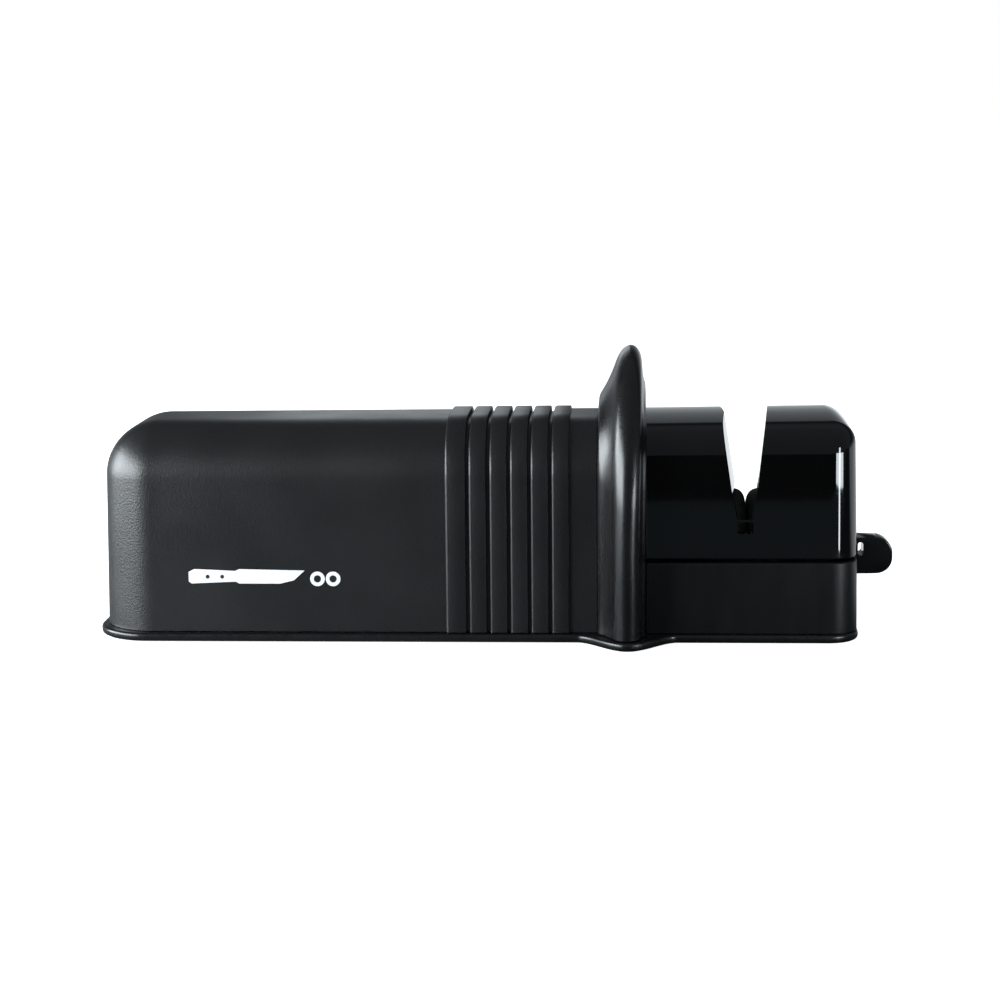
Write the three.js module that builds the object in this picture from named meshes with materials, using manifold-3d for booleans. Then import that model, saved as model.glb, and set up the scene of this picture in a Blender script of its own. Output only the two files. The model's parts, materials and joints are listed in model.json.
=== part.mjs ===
// Pull-through axe and knife sharpener: handle, finger guard, glossy head with a V notch and two
// grinding wheels on one cross axle.
// Millimetres.  X runs along the handle towards the head, Y is the depth (front is -Y), Z is up.
// The origin is the centre of the footprint, on the resting plane.
import * as THREE from 'three';
import { mergeVertices } from 'three/addons/utils/BufferGeometryUtils.js';
import Module from 'manifold-3d';

const wasm = await Module();
wasm.setup();

// ---------------------------------------------------------------- driving dimensions
const WALL = 2.2;                 // moulded wall
const GAP = 0.3;                  // clearance between touching pieces
const SHELL_Z = 2.1;              // underside of the shells, just above the base plate

const handle = { x0: -80.95, x1: 21.3, half: 18.1, top: 44.5, planR: 13, rollSide: 11, rollEnd: 11,
  draft: 0.022, riseEnd: 0.5 };
const rib = { count: 6, first: -9.25, pitch: 4.3, width: 3.6, proud: 0.55 };
const guard = { half: 26.6, top: 58.35, cornerY: 26, cornerZ: 31 };
const spigot = { half: 12, z0: 4, z1: 36, x1: 30.7, wall: 2 };

const head = { x0: 31.3, x1: 73.9, half: 18.7, seam: 16.6, planR: 5.5 };
const cover = { x1: 73.8, half: 18.5, top: 44.6, rollSide: 6.0, rollEnd: 3.4, draft: 0.024 };
const notch = { x: 51.95, floor: 28.8, top: 4.7, foot: 2.6, skew: 0.052 };
const slot = { half: 1.75, bottom: 25.2, rear: 22.4 };
const badge = { half: 1.6, z0: 22.3, z1: 24.8, deep: 0.5 };

const wheel = { z: 15.9, radius: 12.5, width: 6.7, rim: 3.6, bore: 5.0 };
const bush = { outer: 4.7, bore: 2.8 };
const axle = { radius: 2.5, half: 12.6 };
const cradle = { half: 10.9, thick: 2.6, y: 13.4, railY: 2.2, z0: 4.4, railTop: 7.5 };

const plate = { x0: -82.15, x1: 74.2, half: 19.7, bulge: 27.4, bulgeX: 27.4, bulgeIn: 1.8, bulgeOut: 9.5,
  z0: 0.4, z1: 1.8, planR: 11.5 };
const pad = { thick: 1.1, pocket: 1.2 };
const baseScrew = { head: 2.7, shank: 1.3, z0: 0.9, zHead: 2.6, z1: 13, boss: 4.1 };
const baseScrewAt = [['left', -60, 0], ['middle', 6, 0], ['head_front', 67.2, -11.8], ['head_rear', 67.2, 11.8]];
const cradleScrewAt = [['front', 38.4, -10.5], ['rear', 38.4, 10.5]];
const lug = { x0: 69.8, x1: 82.15, z: 14.8, high: 7.6, thick: 5.4, root: 8.9, slotX: 75.55, slotZ: 16.2, slotW: 1.1, slotH: 2.8 };

// ---------------------------------------------------------------- small helpers
function solid(geometry) {
  const g = geometry.index ? geometry.toNonIndexed() : geometry.clone();
  g.deleteAttribute('normal');
  g.deleteAttribute('uv');
  const m = mergeVertices(g, 1e-4);
  return new wasm.Manifold(new wasm.Mesh({ numProp: 3,
    vertProperties: new Float32Array(m.attributes.position.array),
    triVerts: new Uint32Array(m.index.array) }));
}

function toGeometry(manifold) {
  const m = manifold.getMesh();
  const g = new THREE.BufferGeometry();
  g.setAttribute('position', new THREE.BufferAttribute(new Float32Array(m.vertProperties), 3));
  g.setIndex(new THREE.BufferAttribute(new Uint32Array(m.triVerts), 1));
  g.computeVertexNormals();
  return g;
}

function box(x0, x1, y0, y1, z0, z1) {
  const g = new THREE.BoxGeometry(x1 - x0, y1 - y0, z1 - z0);
  g.translate((x0 + x1) / 2, (y0 + y1) / 2, (z0 + z1) / 2);
  return solid(g);
}

// rod along Z or X, given by its two ends
function rodZ(x, y, z0, z1, r, n = 24) {
  const g = new THREE.CylinderGeometry(r, r, z1 - z0, n);
  g.rotateX(Math.PI / 2);
  g.translate(x, y, (z0 + z1) / 2);
  return solid(g);
}
function rodX(x0, x1, y, z, r, n = 32) {
  const g = new THREE.CylinderGeometry(r, r, x1 - x0, n);
  g.rotateZ(Math.PI / 2);
  g.translate((x0 + x1) / 2, y, z);
  return solid(g);
}

// closed skin through rings of equal point count, capped flat at both ends
function loft(rings) {
  const n = rings[0].length;
  const pts = [];
  for (const ring of rings) for (const p of ring) pts.push(...p);
  const index = [];
  for (let r = 0; r < rings.length - 1; r++) {
    for (let i = 0; i < n; i++) {
      const a = r * n + i, b = r * n + (i + 1) % n;
      index.push(a, b, b + n, a, b + n, a + n);
    }
  }
  for (const [r, flip] of [[0, true], [rings.length - 1, false]]) {
    const ring = rings[r];
    const c = [0, 1, 2].map(k => ring.reduce((s, p) => s + p[k], 0) / n);
    const ci = pts.length / 3;
    pts.push(...c);
    for (let i = 0; i < n; i++) {
      const a = r * n + i, b = r * n + (i + 1) % n;
      index.push(ci, ...(flip ? [b, a] : [a, b]));
    }
  }
  const g = new THREE.BufferGeometry();
  g.setAttribute('position', new THREE.BufferAttribute(new Float32Array(pts), 3));
  g.setIndex(index);
  return solid(g);
}

// plan outline (counter-clockwise) of a box with separate corner sizes at its two ends
function planRing(x0, x1, half, [ax0, ay0], [ax1, ay1], z, k = 8) {
  const ring = [];
  const corner = (cx, cy, rx, ry, from) => {
    for (let i = 0; i <= k; i++) {
      const t = from + (i / k) * Math.PI / 2;
      ring.push([cx + rx * Math.cos(t), cy + ry * Math.sin(t), z]);
    }
  };
  corner(x1 - ax1, half - ay1, ax1, ay1, 0);
  corner(x0 + ax0, half - ay0, ax0, ay0, Math.PI / 2);
  corner(x0 + ax0, -half + ay0, ax0, ay0, Math.PI);
  corner(x1 - ax1, -half + ay1, ax1, ay1, Math.PI * 1.5);
  return ring;
}

// how far a rounded shoulder has come in at height z
function rollIn(z, top, radius) {
  const d = z - (top - radius);
  return d <= 0 ? 0 : radius - Math.sqrt(Math.max(0, radius * radius - d * d));
}

// body with drafted walls and a rolled top: separate roll sizes on the long sides and on the ends
function softBody({ x0, x1, half, z0, top, plan0, plan1, rollSide, roll0, roll1, draft, steps = 9 }) {
  const zs = [z0];
  const big = Math.max(rollSide, roll0, roll1);
  for (let i = 0; i <= steps; i++) {
    const t = i / steps * Math.PI / 2;
    zs.push(top - big + big * Math.sin(t));
  }
  const rings = zs.map(z => {
    const d = draft * (z - z0);
    const inSide = d + rollIn(z, top, rollSide);
    const in0 = d + (roll0 ? rollIn(z, top, roll0) : 0);
    const in1 = (roll1 ? d + rollIn(z, top, roll1) : 0);
    const fit = (r, inset) => Math.max(0.25, r - 0.55 * inset);
    return planRing(x0 + in0, x1 - in1, half - inSide,
      [fit(plan0, in0), fit(plan0, inSide)], [fit(plan1, in1), fit(plan1, inSide)], z);
  });
  return loft(rings);
}

const group = new THREE.Group();
group.name = 'blade_sharpener';

const MATERIALS = {
  textured: { color: 0x1b1c1e, roughness: 0.75 }, satin: { color: 0x222325, roughness: 0.45 },
  gloss: { color: 0x0b0b0d, roughness: 0.08 }, rubber: { color: 0x151515, roughness: 0.95 },
  inner: { color: 0x2a2b2e, roughness: 0.6 }, steel: { color: 0xb9bcc0, roughness: 0.3, metalness: 1 },
  ceramic: { color: 0xa7a29a, roughness: 0.9 },
};
function put(name, manifold, look) {
  const mesh = new THREE.Mesh(toGeometry(manifold), new THREE.MeshStandardMaterial(MATERIALS[look]));
  mesh.name = name;
  group.add(mesh);
}

// ---------------------------------------------------------------- handle
function handleBody(grow, z0, x1 = handle.x1) {
  return softBody({ x0: handle.x0 - grow, x1, half: handle.half + grow, z0, top: handle.top + grow,
    plan0: handle.planR + grow, plan1: 0.3, rollSide: handle.rollSide + grow, roll0: handle.rollEnd + grow,
    roll1: 0, draft: handle.draft });
}

function handleShell() {
  let body = handleBody(0, SHELL_Z);
  const big = handleBody(rib.proud, SHELL_Z);
  for (let i = 0; i < rib.count; i++) {
    const x = rib.first + i * rib.pitch;
    body = body.add(big.intersect(box(x, x + rib.width, -40, 40, SHELL_Z, 60)));
  }
  body = body.add(box(handle.x1 - 3, spigot.x1, -spigot.half, spigot.half, spigot.z0, spigot.z1));
  body = body.subtract(handleBody(-WALL, SHELL_Z - 1, handle.x1 - WALL));
  const w = spigot.wall;
  body = body.subtract(box(handle.x1 - 6, spigot.x1 - w, -spigot.half + w, spigot.half - w,
    spigot.z0 + w, spigot.z1 - w));
  for (const [, x, y] of baseScrewAt.slice(0, 2)) {
    const post = rodZ(x, y, baseScrew.zHead + 2.3, handle.top - WALL + 0.6, baseScrew.boss);
    const tie = box(x - 0.9, x + 0.9, -handle.half + 1.2, handle.half - 1.2, 9, 30);
    body = body.add(post).add(tie).subtract(rodZ(x, y, 2, baseScrew.z1 + 1, baseScrew.shank + 0.3));
  }
  // the crest climbs slightly towards the guard
  return body.warp(v => {
    const back = Math.max(0, handle.x1 - v[0]) / (handle.x1 - handle.x0);
    v[2] -= handle.riseEnd * back * (v[2] - SHELL_Z) / (handle.top - SHELL_Z);
  });
}
put('handle_shell', handleShell(), 'textured');

// ---------------------------------------------------------------- finger guard
function guardRing(x, t) {
  const half = handle.half + 0.5 + t * (guard.half - handle.half - 0.5);
  const top = handle.top + 0.9 + t * (guard.top - handle.top - 0.9);
  const a = handle.rollSide + t * (guard.cornerY - handle.rollSide);
  const b = handle.rollSide + t * (guard.cornerZ - handle.rollSide);
  const k = 14, ring = [[x, half, SHELL_Z]];
  for (let i = 0; i <= k; i++) {
    const s = i / k * Math.PI / 2;
    ring.push([x, half - a + a * Math.cos(s), top - b + b * Math.sin(s)]);
  }
  for (let i = k; i >= 0; i--) {
    const s = i / k * Math.PI / 2;
    ring.push([x, -half + a - a * Math.cos(s), top - b + b * Math.sin(s)]);
  }
  ring.push([x, -half, SHELL_Z]);
  return ring;
}

function fingerGuard() {
  const stations = [[21.6, 0], [21.9, 0.07], [22.6, 0.2], [23.6, 0.33], [24.6, 0.5], [25.3, 0.66], [25.8, 0.82],
    [26.2, 0.92], [26.8, 0.975], [27.6, 1], [28.6, 1], [29.4, 0.97], [30.1, 0.92], [30.5, 0.8], [30.8, 0.62],
    [31.0, 0.4]];
  const body = loft(stations.map(([x, t]) => guardRing(x, t)));
  return body.subtract(box(20, 32, -spigot.half - GAP, spigot.half + GAP, spigot.z0 - GAP, spigot.z1 + GAP));
}
put('finger_guard', fingerGuard(), 'satin');

// ---------------------------------------------------------------- base plate and sole pads
function plateOutline() {
  const pts = [];
  const n = 44;
  const halfAt = x => {
    const d = (Math.abs(x - plate.bulgeX) - plate.bulgeIn) / (plate.bulgeOut - plate.bulgeIn);
    const bump = d <= 0 ? 1 : d >= 1 ? 0 : Math.pow(Math.cos(d * Math.PI / 2), 2);
    return plate.half + (plate.bulge - plate.half) * bump;
  };
  const r0 = plate.planR, r1 = 6;
  const top = [];
  for (let i = 0; i <= 9; i++) {
    const t = Math.PI - i / 9 * Math.PI / 2;
    top.push([plate.x0 + r0 + r0 * Math.cos(t), plate.half - r0 + r0 * Math.sin(t)]);
  }
  for (let i = 1; i < n; i++) {
    const x = plate.bulgeX - 11 + i / n * 22;
    top.push([x, halfAt(x)]);
  }
  for (let i = 0; i <= 8; i++) {
    const t = Math.PI / 2 - i / 8 * Math.PI / 2;
    top.push([plate.x1 - r1 + r1 * Math.cos(t), plate.half - 0.7 - r1 + 0.7 * (1 - i / 8) + r1 * Math.sin(t)]);
  }
  for (const p of top) pts.push(p);
  for (const [x, y] of [...top].reverse()) pts.push([x, -y]);
  return pts;
}

function slab(outline, z0, z1, inset = 0) {
  const shape = new THREE.Shape(outline.map(([x, y]) => new THREE.Vector2(x, y)));
  const g = new THREE.ExtrudeGeometry(shape, { depth: z1 - z0, bevelEnabled: inset > 0, bevelThickness: inset,
    bevelSize: inset, bevelOffset: -inset, bevelSegments: 1, curveSegments: 8 });
  g.translate(0, 0, z0);
  return solid(g);
}

function roundedPlan(x0, x1, half, r) {
  return planRing(x0, x1, half, [r, r], [r, r], 0).map(([x, y]) => [x, y]);
}

const padAt = [['handle', -74, 12, 14.5], ['head', 40, 64, 14.5]];
function basePlate() {
  let body = slab(plateOutline(), plate.z0 + 0.4, plate.z1 - 0.4, 0.4);
  for (const [, x, y] of [...baseScrewAt, ...cradleScrewAt]) {
    body = body.add(rodZ(x, y, plate.z1 - 0.4, baseScrew.zHead + 1.5, baseScrew.boss));
  }
  for (const [, x, y] of [...baseScrewAt, ...cradleScrewAt]) {
    body = body.subtract(rodZ(x, y, -1, baseScrew.zHead + 0.2, baseScrew.head + 0.3));
    body = body.subtract(rodZ(x, y, -1, 9, baseScrew.shank + 0.3));
  }
  for (const [, x0, x1, half] of padAt) {
    const pocket = slab(roundedPlan(x0 - GAP, x1 + GAP, half + GAP, 4 + GAP), -1, pad.pocket);
    body = body.subtract(padCut(pocket, GAP));
  }
  return body;
}
// screw wells stay clear of the pads
function padCut(shape, extra) {
  for (const [, x, y] of [...baseScrewAt, ...cradleScrewAt]) {
    shape = shape.subtract(rodZ(x, y, -2, 4, baseScrew.boss + GAP - extra));
  }
  return shape;
}
put('base_plate', basePlate(), 'satin');
for (const [name, x0, x1, half] of padAt) {
  put(`sole_pad_${name}`, padCut(slab(roundedPlan(x0, x1, half, 4), 0, pad.thick), 0), 'rubber');
}

// ---------------------------------------------------------------- screws
function screw(x, y, zHead, zTip) {
  let s = rodZ(x, y, baseScrew.z0, zHead, baseScrew.head, 24).add(rodZ(x, y, zHead - 0.2, zTip, baseScrew.shank, 16));
  for (const [a, b] of [[1.7, 0.35], [0.35, 1.7]]) {
    s = s.subtract(box(x - a, x + a, y - b, y + b, 0, baseScrew.z0 + 0.9));
  }
  return s;
}
for (const [name, x, y] of baseScrewAt) put(`base_screw_${name}`, screw(x, y, baseScrew.zHead, baseScrew.z1), 'steel');
for (const [name, x, y] of cradleScrewAt) put(`cradle_screw_${name}`, screw(x, y, baseScrew.zHead, 9.5), 'steel');

// ---------------------------------------------------------------- head housing (lower, matte)
function headHousing() {
  const outer = softBody({ x0: head.x0, x1: head.x1, half: head.half, z0: SHELL_Z, top: head.seam, plan0: 0.4,
    plan1: head.planR, rollSide: 0.3, roll0: 0, roll1: 0.3, draft: 0.012, steps: 2 });
  let body = outer.subtract(box(head.x0 + WALL, head.x1 - WALL, -head.half + WALL, head.half - WALL, 0, 20));
  for (const [, x, y] of baseScrewAt.slice(2)) {
    const post = rodZ(x, y, baseScrew.zHead + 2.0, head.seam - 0.6, baseScrew.boss)
      .add(box(x, head.x1 - 1, y - 1, y + 1, 6, head.seam - 0.6))
      .add(box(x - 1, x + 1, Math.min(y, Math.sign(y) * 18), Math.max(y, Math.sign(y) * 18), 6, head.seam - 0.6));
    body = body.add(post.intersect(outer)).subtract(rodZ(x, y, 2, baseScrew.z1 + 1, baseScrew.shank + 0.3));
  }
  return body.subtract(lugSocket());
}

function lugSocket() {
  const z0 = lug.z - lug.root / 2 - GAP, z1 = lug.z + lug.root / 2 + GAP, y = lug.thick / 2 + GAP;
  return box(head.x1 - 5.5, head.x1 + 2, -y, y, z0, z1);
}

// ---------------------------------------------------------------- head cover (upper, glossy)
// a tapered trough that runs slightly askew across the head, as the blade path does
function trough(halfAt, low, high, y0 = -24, y1 = 24) {
  return loft([y1, y0].map(y => [[-1, low], [1, low], [1, high], [-1, high]].map(([side, z]) =>
    [notch.x + notch.skew * y + side * halfAt(z), y, z])));
}

function notchHalf(z) {
  return notch.foot + (z - notch.floor) / (cover.top - notch.floor) * (notch.top - notch.foot);
}

function headCover() {
  const z0 = head.seam + GAP;
  let body = softBody({ x0: head.x0, x1: cover.x1, half: cover.half, z0, top: cover.top, plan0: 0.6,
    plan1: head.planR, rollSide: cover.rollSide, roll0: 0, roll1: cover.rollEnd, draft: cover.draft, steps: 8 });
  const inY = cover.half - WALL - 0.8, xa = head.x0 + WALL, xb = cover.x1 - WALL - 0.6;
  body = body.subtract(box(xa, xb, -inY, inY, 10, notch.floor + 0.8));
  body = body.subtract(box(xa, notch.x - 8, -inY + 1, inY - 1, 20, cover.top - 2.6));
  body = body.subtract(box(notch.x + 8, xb - 1, -inY + 1, inY - 1, 20, cover.top - 2.8));
  body = body.subtract(trough(notchHalf, notch.floor, 50));
  body = body.subtract(trough(() => slot.half, slot.bottom, notch.floor + 1));
  body = body.subtract(trough(() => slot.half, slot.rear, slot.bottom + 1, 12));
  const xw = notch.x - notch.skew * cover.half;
  body = body.subtract(box(xw - badge.half, xw + badge.half, -25, -cover.half + badge.deep + 0.1,
    badge.z0, badge.z1));
  return body.subtract(lugSocket());
}
put('head_housing', headHousing(), 'satin');
put('head_cover', headCover(), 'gloss');

// ---------------------------------------------------------------- wheel set
function wheelCradle() {
  const x0 = notch.x - cradle.half, x1 = notch.x + cradle.half, t = cradle.thick;
  let body = null;
  for (const x of [x0, x1 - t]) {
    const upright = box(x, x + t, -7, 7, cradle.z0, wheel.z).add(rodX(x, x + t, 0, wheel.z, 4.6))
      .add(box(x, x + t, -cradle.y - cradle.railY, cradle.y + cradle.railY, cradle.z0, cradle.railTop));
    body = body ? body.add(upright) : upright;
  }
  for (const s of [-1, 1]) {
    const y = s > 0 ? cradle.y : -cradle.y - cradle.railY;
    body = body.add(box(x0, x1, y, y + cradle.railY, cradle.z0, cradle.railTop));
  }
  for (const [, x, y] of cradleScrewAt) {
    body = body.add(box(x - 3.2, x0 + 0.5, y - 3.2, y + 3.2, cradle.z0, cradle.railTop));
    body = body.subtract(rodZ(x, y, 0, 20, baseScrew.shank + 0.3));
  }
  body = body.subtract(rodX(x0 - 1, x1 + 1, 0, wheel.z, axle.radius + 0.25));
  return body;
}
put('wheel_cradle', wheelCradle(), 'inner');

function wheelAxle() {
  const x0 = notch.x - axle.half, x1 = notch.x + axle.half;
  let body = rodX(x0, x1, 0, wheel.z, axle.radius);
  body = body.subtract(rodX(x0 + 0.45, x0 + 1.25, 0, wheel.z, 9).subtract(rodX(x0, x0 + 2, 0, wheel.z, 1.9)));
  return body.subtract(rodX(x1 - 1.25, x1 - 0.45, 0, wheel.z, 9).subtract(rodX(x1 - 2, x1, 0, wheel.z, 1.9)));
}
put('wheel_axle', wheelAxle(), 'steel');

function axleClip(side) {
  const xc = notch.x + side * (axle.half - 0.85);
  return rodX(xc - 0.3, xc + 0.3, 0, wheel.z, 4.2).subtract(rodX(xc - 1, xc + 1, 0, wheel.z, 2.0))
    .subtract(box(xc - 1, xc + 1, -1.6, 1.6, wheel.z - 6, wheel.z));
}
put('axle_clip_left', axleClip(-1), 'steel');
put('axle_clip_right', axleClip(1), 'steel');

function ring(x0, x1, inner, outer) {
  return rodX(x0, x1, 0, wheel.z, outer).subtract(rodX(x0 - 1, x1 + 1, 0, wheel.z, inner));
}
const faceX = 0.2, spacerX = faceX + wheel.width + 0.35;
put('spacer_left', ring(notch.x - cradle.half + cradle.thick + 0.2, notch.x - spacerX, 2.8, 4.6), 'steel');
put('spacer_right', ring(notch.x + spacerX, notch.x + cradle.half - cradle.thick - 0.2, 2.8, 4.6), 'steel');

function grindingWheel(side) {
  // profile turned about the axle: the rim is part of a circle, so two wheels meet in a V
  const rimX = faceX + 3.15, base = wheel.radius - wheel.rim, profile = [];
  const end = faceX + wheel.width;
  const at = x => base + Math.sqrt(Math.max(0, wheel.rim ** 2 - (x - rimX) ** 2));
  profile.push([wheel.bore, faceX]);
  for (let i = 0; i <= 10; i++) {
    const x = faceX + (end - faceX) * i / 10;
    profile.push([at(x), x]);
  }
  profile.push([wheel.bore, end], [wheel.bore, faceX]);
  const g = new THREE.LatheGeometry(profile.map(([r, x]) => new THREE.Vector2(r, x)), 44);
  g.rotateZ(-Math.PI / 2);
  if (side < 0) g.rotateY(Math.PI);
  g.translate(notch.x, 0, wheel.z);
  return solid(g);
}
for (const [name, side] of [['left', -1], ['right', 1]]) {
  put(`grinding_wheel_${name}`, grindingWheel(side), 'ceramic');
  const a = notch.x + side * (faceX - 0.05), b = notch.x + side * (faceX + wheel.width + 0.05);
  put(`wheel_bush_${name}`, ring(Math.min(a, b), Math.max(a, b), bush.bore, bush.outer), 'inner');
}

// ---------------------------------------------------------------- hanging lug
function hangingLug() {
  const y = lug.thick / 2;
  const s = new THREE.Shape();
  const h = lug.high / 2, r = lug.root / 2 - 0.2, xr = head.x1 + 0.35;
  s.moveTo(xr, -r);
  s.quadraticCurveTo(xr + 0.3, -h, xr + 1.6, -h);
  s.lineTo(lug.x1 - 2.6, -h);
  s.quadraticCurveTo(lug.x1 - 0.2, -h, lug.x1, 0);
  s.quadraticCurveTo(lug.x1 - 0.2, h, lug.x1 - 2.6, h);
  s.lineTo(xr + 1.6, h);
  s.quadraticCurveTo(xr + 0.3, h, xr, r);
  s.lineTo(lug.x0, r);
  s.lineTo(lug.x0, -r);
  s.closePath();
  const g = new THREE.ExtrudeGeometry(s, { depth: lug.thick, bevelEnabled: false, curveSegments: 8 });
  g.rotateX(Math.PI / 2);
  g.translate(0, y, lug.z);
  let m = solid(g);
  m = m.add(box(head.x1 - 5, head.x1 - 3.7, -y - 2, y + 2, lug.z - r, lug.z + r));
  m = m.intersect(box(head.x1 - 5, 90, -9, 9, 0, 40));
  const w = lug.slotW / 2, k = lug.slotH / 2 - w;
  const cut = (x, z) => rodZ(x, 0, -9, 9, w, 20).rotate([90, 0, 0]).translate([0, 0, z]);
  const pill = cut(lug.slotX, lug.slotZ + k).add(cut(lug.slotX, lug.slotZ - k))
    .add(box(lug.slotX - w, lug.slotX + w, -9, 9, lug.slotZ - k, lug.slotZ + k));
  return m.subtract(pill);
}
put('hanging_lug', hangingLug(), 'gloss');

export default group;
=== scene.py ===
import json
import math

import bmesh
import bpy
from bpy.props import FloatProperty, FloatVectorProperty, PointerProperty
from mathutils import Matrix, Vector

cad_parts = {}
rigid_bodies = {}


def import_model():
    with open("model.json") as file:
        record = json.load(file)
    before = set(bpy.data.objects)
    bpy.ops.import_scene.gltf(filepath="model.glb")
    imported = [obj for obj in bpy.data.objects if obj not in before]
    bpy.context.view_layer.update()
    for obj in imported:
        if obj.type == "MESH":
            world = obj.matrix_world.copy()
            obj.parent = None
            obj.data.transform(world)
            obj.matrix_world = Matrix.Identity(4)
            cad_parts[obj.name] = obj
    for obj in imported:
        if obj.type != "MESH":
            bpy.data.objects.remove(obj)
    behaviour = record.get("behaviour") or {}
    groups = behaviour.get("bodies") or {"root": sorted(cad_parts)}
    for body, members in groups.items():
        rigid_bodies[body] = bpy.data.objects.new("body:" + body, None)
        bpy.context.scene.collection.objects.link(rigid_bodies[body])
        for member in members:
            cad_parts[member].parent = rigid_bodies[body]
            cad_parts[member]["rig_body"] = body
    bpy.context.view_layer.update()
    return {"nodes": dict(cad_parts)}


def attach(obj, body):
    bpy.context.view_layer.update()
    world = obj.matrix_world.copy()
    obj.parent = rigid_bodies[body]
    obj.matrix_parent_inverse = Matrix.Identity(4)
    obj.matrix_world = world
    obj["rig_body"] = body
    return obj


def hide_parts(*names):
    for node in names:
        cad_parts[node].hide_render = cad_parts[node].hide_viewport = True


bl_info = {
    "name": "Pull-through blade sharpener",
    "version": (1, 0, 0),
    "blender": (4, 5, 0),
    "location": "View3D > Sidebar > Sharpener",
    "description": "Models a hand-held axe and knife sharpener on its packed frame, with its finishes and a studio",
    "category": "Object",
}

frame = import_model()
MM = 0.001
NOTCH_X = 51.95  # the middle of the notch and of the wheel pair, in mm


# ------------------------------------------------------------------ sizes, finishes, studio
class SharpenerShape(bpy.types.PropertyGroup):
    handle_roll: FloatProperty(
        name="Side roll", description="Radius that rolls the grip's sides into its crest",
        default=11 * MM, min=0.0, unit="LENGTH")
    handle_end_roll: FloatProperty(
        name="End roll", description="Radius that rolls the grip's end into its crest",
        default=11 * MM, min=0.0, unit="LENGTH")
    handle_corner: FloatProperty(
        name="Grip corner", description="Plan radius of the two corners at the grip's end",
        default=11.5 * MM, min=0.0, unit="LENGTH")
    rib_height: FloatProperty(
        name="Band height", description="How proud each band stands", default=0.6 * MM, unit="LENGTH")
    groove_depth: FloatProperty(
        name="Groove depth", description="How far the grooves between bands are sunk", default=0.6 * MM,
        unit="LENGTH")
    head_roll: FloatProperty(
        name="Cover roll", description="Radius that rolls the cover's sides into its top",
        default=6.0 * MM, unit="LENGTH")
    head_end_roll: FloatProperty(
        name="Cover end roll", description="Radius that rolls the cover's end into its top",
        default=4.6 * MM, unit="LENGTH")
    seam_round: FloatProperty(
        name="Seam rounding", description="Edge rounding either side of the seam round the head",
        default=0.42 * MM, unit="LENGTH")
    wheel_radius: FloatProperty(
        name="Wheel radius", description="Outer radius of each grinding wheel", default=12.5 * MM, unit="LENGTH")


class SharpenerFinish(bpy.types.PropertyGroup):
    grip: FloatVectorProperty(
        name="Grip", description="Colour of the textured moulding", subtype="COLOR", size=3,
        default=(0.0040, 0.0041, 0.0044), min=0.0, max=1.0)
    satin: FloatVectorProperty(
        name="Satin", description="Colour of the guard, lower housing and base", subtype="COLOR", size=3,
        default=(0.0022, 0.0023, 0.0025), min=0.0, max=1.0)
    gloss: FloatVectorProperty(
        name="Gloss", description="Colour of the polished cover and lug", subtype="COLOR", size=3,
        default=(0.0011, 0.0011, 0.0012), min=0.0, max=1.0)
    ink: FloatVectorProperty(
        name="Ink", description="Colour of the printed pictogram", subtype="COLOR", size=3,
        default=(0.82, 0.84, 0.85), min=0.0, max=1.0)
    ceramic: FloatVectorProperty(
        name="Ceramic", description="Colour of the grinding wheels", subtype="COLOR", size=3,
        default=(0.008, 0.0078, 0.0075), min=0.0, max=1.0)


class SharpenerStudio(bpy.types.PropertyGroup):
    azimuth: FloatProperty(
        name="Azimuth", description="How far the camera stands round to the head's end",
        default=math.radians(3.4), subtype="ANGLE")
    elevation: FloatProperty(
        name="Elevation", description="How far the camera looks down", default=math.radians(10.0), subtype="ANGLE")
    roll: FloatProperty(
        name="Roll", description="Small tilt of the camera", default=math.radians(-0.6), subtype="ANGLE")
    distance: FloatProperty(
        name="Distance", description="From the camera to the middle of the part", default=0.460, unit="LENGTH")
    lens: FloatProperty(name="Lens", description="Focal length in millimetres", default=79.2)
    side_power: FloatProperty(
        name="Left softbox", description="Power of the large softbox at the grip's end", default=15.5, unit="POWER")
    strip_power: FloatProperty(
        name="Right strip", description="Power of the narrow strip light at the head's end", default=0.055,
        unit="POWER")
    crest_power: FloatProperty(
        name="Crest light", description="Power of the softbox above and behind the grip", default=0.085, unit="POWER")
    fill_power: FloatProperty(
        name="Front fill", description="Power of the soft light above the camera, kept out of reflections",
        default=2.2, unit="POWER")
    sweep_level: FloatProperty(
        name="Sweep", description="Brightness of the white sweep behind the part", default=1.0, min=0.0)
    room_level: FloatProperty(
        name="Room", description="Brightness of the ceiling bounce", default=0.21, min=0.0)


# ------------------------------------------------------------------ modelling by hand, in small steps
def let_go():
    """Leaves edit mode and deselects everything."""
    if bpy.context.mode != "OBJECT":
        bpy.ops.object.mode_set(mode="OBJECT")
    bpy.ops.object.select_all(action="DESELECT")


def take(obj):
    """Makes obj the only selected object."""
    let_go()
    obj.select_set(True)
    bpy.context.view_layer.objects.active = obj


def settle(name):
    """Names the active object and puts its place into its mesh."""
    obj = bpy.context.active_object
    obj.name = obj.data.name = name
    bpy.ops.object.transform_apply(location=True, rotation=True, scale=True)
    return obj


def sheet_at(name, x0, x1, y0, y1, z):
    """A flat rectangle lying at height z."""
    let_go()
    bpy.ops.mesh.primitive_plane_add(size=1, location=((x0 + x1) / 2, (y0 + y1) / 2, z))
    bpy.context.active_object.scale = (x1 - x0, y1 - y0, 1)
    return settle(name)


def block_at(name, x0, x1, y0, y1, z0, z1):
    """A plain block, used to cut with or to shape further."""
    let_go()
    bpy.ops.mesh.primitive_cube_add(size=1, location=((x0 + x1) / 2, (y0 + y1) / 2, (z0 + z1) / 2))
    bpy.context.active_object.scale = (x1 - x0, y1 - y0, z1 - z0)
    return settle(name)


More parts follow.
